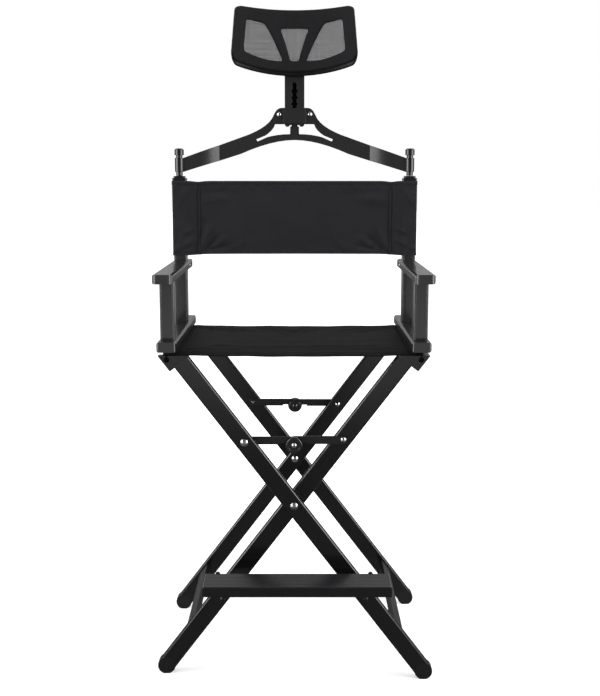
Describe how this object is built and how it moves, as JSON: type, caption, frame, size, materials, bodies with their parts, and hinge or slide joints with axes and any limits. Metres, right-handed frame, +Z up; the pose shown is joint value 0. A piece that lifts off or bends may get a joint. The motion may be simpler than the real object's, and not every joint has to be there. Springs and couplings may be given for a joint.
{
  "type": "folding makeup chair",
  "caption": "Tall folding chair on nested X frames, with cloth seat and back, armrests, locking braces, hooked footrest and lift-off mesh headrest.",
  "frame": {"origin": "on the floor, at the middle of the chair's width and depth", "axes": "+Z up, -Y is the front of the chair, +X is the right side as seen from the front"},
  "size_m": [0.5874, 0.5252, 1.424],
  "materials": {
    "black_aluminium": "satin black anodised extrusion",
    "black_nylon": "moulded nylon, fine satin",
    "armrest": "moulded nylon, satin",
    "canvas": "heavy woven canvas",
    "mesh": "open woven mesh",
    "headrest_cover": "knitted spacer cover over a moulded frame",
    "bright_steel": "zinc plated",
    "coated_steel": "black powder coat",
    "brace_steel": "black powder coat"
  },
  "bodies": {
    "left_side": {"left_seat_rail": "black_aluminium", "left_rail_caps": "black_nylon", "left_rail_lugs": "black_aluminium", "left_front_post": "black_aluminium", "left_back_post": "black_aluminium", "left_armrest": "armrest", "left_arm_screw": "bright_steel", "left_post_cap": "black_nylon", "left_hinge_rod": "coated_steel", "seat_cloth": "canvas", "back_cloth": "canvas"},
    "outer_frame": {"outer_front_leg": "black_aluminium", "outer_rear_leg": "black_aluminium", "outer_stretcher": "black_aluminium", "outer_top_caps": "black_nylon", "outer_foot_caps": "black_nylon", "pivot_bolts": "bright_steel", "pivot_spacers": "bright_steel", "outer_brace_bolts": "bright_steel", "footrest_pivot_bolt": "coated_steel"},
    "inner_frame": {"inner_front_leg": "black_aluminium", "inner_rear_leg": "black_aluminium", "inner_stretcher": "black_aluminium", "inner_top_caps": "black_nylon", "inner_foot_caps": "black_nylon", "inner_brace_bolts": "bright_steel", "footrest_stud": "coated_steel"},
    "right_side": {"right_seat_rail": "black_aluminium", "right_rail_caps": "black_nylon", "right_rail_lugs": "black_aluminium", "right_front_post": "black_aluminium", "right_back_post": "black_aluminium", "right_armrest": "armrest", "right_arm_screw": "bright_steel", "right_post_cap": "black_nylon", "right_hinge_rod": "coated_steel"},
    "front_left_link": {"front_left_brace": "brace_steel", "front_knob": "black_nylon", "front_knob_bolt": "bright_steel"},
    "front_right_link": {"front_right_brace": "brace_steel", "brace_bosses_front": "black_nylon"},
    "rear_left_link": {"rear_left_brace": "brace_steel", "rear_knob": "black_nylon", "rear_knob_bolt": "bright_steel"},
    "rear_right_link": {"rear_right_brace": "brace_steel", "brace_bosses_rear": "black_nylon"},
    "footrest": {"footrest_board": "black_aluminium", "footrest_end_caps": "black_nylon", "footrest_pivot_bracket": "black_aluminium", "footrest_hook_bracket": "black_aluminium"},
    "yoke": {"yoke_plate": "coated_steel", "yoke_sleeves": "coated_steel", "yoke_pins": "black_nylon", "clamp_plate": "coated_steel", "clamp_screws": "bright_steel"},
    "stem": {"headrest_stem": "coated_steel", "tilt_pin": "bright_steel"},
    "headrest": {"headrest_frame": "headrest_cover", "headrest_mesh": "mesh"}
  },
  "joints": [
    {"name": "left_hinge", "type": "hinge", "parent": "left_side", "child": "outer_frame", "pos_m": [-0.259, 0.0444, 0.69], "axis": [0, 1, 0], "range_deg": [0, 27.6]},
    {"name": "fold", "type": "hinge", "parent": "outer_frame", "child": "inner_frame", "pos_m": [0, 0.0444, 0.381], "axis": [0, -1, 0], "range_deg": [0, 55], "deforming": ["seat_cloth", "back_cloth"]},
    {"name": "right_hinge", "type": "hinge", "parent": "inner_frame", "child": "right_side", "pos_m": [0.259, 0.0444, 0.69], "axis": [0, 1, 0], "range_deg": [0, 27.6]},
    {"name": "front_left_brace_turn", "type": "hinge", "parent": "outer_frame", "child": "front_left_link", "pos_m": [-0.10261, -0.1566, 0.51654], "axis": [0, -1, 0], "range_deg": [0, 106.02]},
    {"name": "front_right_brace_turn", "type": "hinge", "parent": "inner_frame", "child": "front_right_link", "pos_m": [0.10261, -0.1566, 0.51654], "axis": [0, 1, 0], "range_deg": [0, 106.02]},
    {"name": "rear_left_brace_turn", "type": "hinge", "parent": "outer_frame", "child": "rear_left_link", "pos_m": [-0.10261, 0.2454, 0.51654], "axis": [0, -1, 0], "range_deg": [0, 106.02]},
    {"name": "rear_right_brace_turn", "type": "hinge", "parent": "inner_frame", "child": "rear_right_link", "pos_m": [0.10261, 0.2454, 0.51654], "axis": [0, 1, 0], "range_deg": [0, 106.02]},
    {"name": "footrest_turn", "type": "hinge", "parent": "outer_frame", "child": "footrest", "pos_m": [0.14913, -0.1706, 0.184], "axis": [0, 1, 0], "range_deg": [0, 52.97]},
    {"name": "yoke_lift", "type": "slide", "parent": "left_side", "child": "yoke", "axis": [0, 0, 1], "range_m": [0, 0.06]},
    {"name": "headrest_height", "type": "slide", "parent": "yoke", "child": "stem", "axis": [0, 0, 1], "range_m": [-0.03, 0.03]},
    {"name": "headrest_tilt", "type": "hinge", "parent": "stem", "child": "headrest", "pos_m": [0, 0.14215, 1.292], "axis": [1, 0, 0], "range_deg": [-20, 15]}
  ],
  "couplings": [
    {"joint": "left_hinge", "follows": "fold", "ratio": 0.5},
    {"joint": "right_hinge", "follows": "fold", "ratio": 0.5},
    {"joint": "footrest_turn", "follows": "fold", "ratio": 0.9613},
    {"joint": "front_left_brace_turn", "follows": "fold", "ratio": 1.9259},
    {"joint": "front_right_brace_turn", "follows": "fold", "ratio": 1.9259},
    {"joint": "rear_left_brace_turn", "follows": "fold", "ratio": 1.9259},
    {"joint": "rear_right_brace_turn", "follows": "fold", "ratio": 1.9259}
  ]
}
